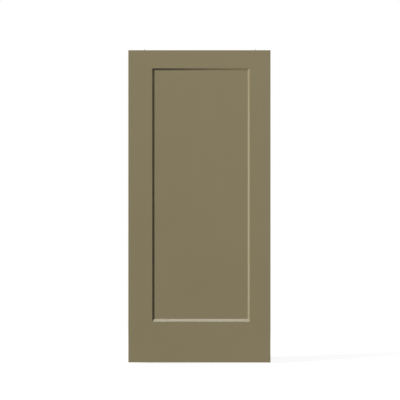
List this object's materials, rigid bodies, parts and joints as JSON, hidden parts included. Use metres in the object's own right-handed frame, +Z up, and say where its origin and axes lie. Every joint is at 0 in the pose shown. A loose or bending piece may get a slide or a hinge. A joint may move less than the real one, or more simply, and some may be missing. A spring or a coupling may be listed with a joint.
{
  "type": "sliding closet door",
  "caption": "Plain painted closet door leaf with a sunk panel, with rollers that wind down from its bottom edge and sprung guide pins in its top edge.",
  "frame": {"origin": "middle of the leaf's bottom edge", "axes": "+Z up along the leaf, +X to the right as seen from the front, +Y from the front face to the back face"},
  "size_m": [0.914, 0.035, 2.015],
  "materials": {
    "satin_paint": "satin",
    "painted_timber": "satin",
    "pine": "matte",
    "kraft_paper": "matte",
    "zinc_steel": "satin",
    "bright_steel": "polished",
    "screw_steel": "satin",
    "white_nylon": "satin"
  },
  "bodies": {
    "leaf": {"front_skin": "satin_paint", "back_skin": "satin_paint", "left_stile": "painted_timber", "right_stile": "painted_timber", "top_rail": "pine", "bottom_rail": "pine", "left_lock_block": "pine", "right_lock_block": "pine", "honeycomb_core": "kraft_paper", "left_roller_plate": "zinc_steel", "left_roller_housing": "zinc_steel", "left_roller_screws": "screw_steel", "right_roller_plate": "zinc_steel", "right_roller_housing": "zinc_steel", "right_roller_screws": "screw_steel", "left_guide_housing": "white_nylon", "left_guide_spring": "bright_steel", "left_guide_cap": "white_nylon", "left_guide_screws": "screw_steel", "right_guide_housing": "white_nylon", "right_guide_spring": "bright_steel", "right_guide_cap": "white_nylon", "right_guide_screws": "screw_steel"},
    "left_carriage": {"left_roller_carriage": "zinc_steel", "left_wheel_axle": "bright_steel", "left_axle_washers": "bright_steel"},
    "left_wheel": {"left_wheel": "white_nylon"},
    "left_height_screw": {"left_height_screw": "screw_steel"},
    "left_guide_pin": {"left_guide_plunger": "white_nylon"},
    "right_carriage": {"right_roller_carriage": "zinc_steel", "right_wheel_axle": "bright_steel", "right_axle_washers": "bright_steel"},
    "right_wheel": {"right_wheel": "white_nylon"},
    "right_height_screw": {"right_height_screw": "screw_steel"},
    "right_guide_pin": {"right_guide_plunger": "white_nylon"}
  },
  "joints": [
    {"name": "left_height_turn", "type": "hinge", "parent": "leaf", "child": "left_height_screw", "pos_m": [-0.321, 0, 0], "axis": [0, 0, 1], "range_deg": [0, 3600]},
    {"name": "left_wheel_height", "type": "slide", "parent": "leaf", "child": "left_carriage", "axis": [0, 0, -1], "range_m": [0, 0.01]},
    {"name": "left_wheel_spin", "type": "hinge", "parent": "left_carriage", "child": "left_wheel", "pos_m": [-0.347, 0, 0.0175], "axis": [0, 1, 0], "continuous": true},
    {"name": "left_guide_press", "type": "slide", "parent": "leaf", "child": "left_guide_pin", "axis": [0, 0, -1], "range_m": [0, 0.008], "stiffness_N_per_m": 500, "springref_m": -0.01, "deforming": ["left_guide_spring"]},
    {"name": "right_height_turn", "type": "hinge", "parent": "leaf", "child": "right_height_screw", "pos_m": [0.321, 0, 0], "axis": [0, 0, 1], "range_deg": [0, 3600]},
    {"name": "right_wheel_height", "type": "slide", "parent": "leaf", "child": "right_carriage", "axis": [0, 0, -1], "range_m": [0, 0.01]},
    {"name": "right_wheel_spin", "type": "hinge", "parent": "right_carriage", "child": "right_wheel", "pos_m": [0.347, 0, 0.0175], "axis": [0, 1, 0], "continuous": true},
    {"name": "right_guide_press", "type": "slide", "parent": "leaf", "child": "right_guide_pin", "axis": [0, 0, -1], "range_m": [0, 0.008], "stiffness_N_per_m": 500, "springref_m": -0.01, "deforming": ["right_guide_spring"]}
  ],
  "couplings": [
    {"joint": "left_height_turn", "follows": "left_wheel_height", "rad_per_m": 6283.2},
    {"joint": "right_height_turn", "follows": "right_wheel_height", "rad_per_m": 6283.2}
  ]
}
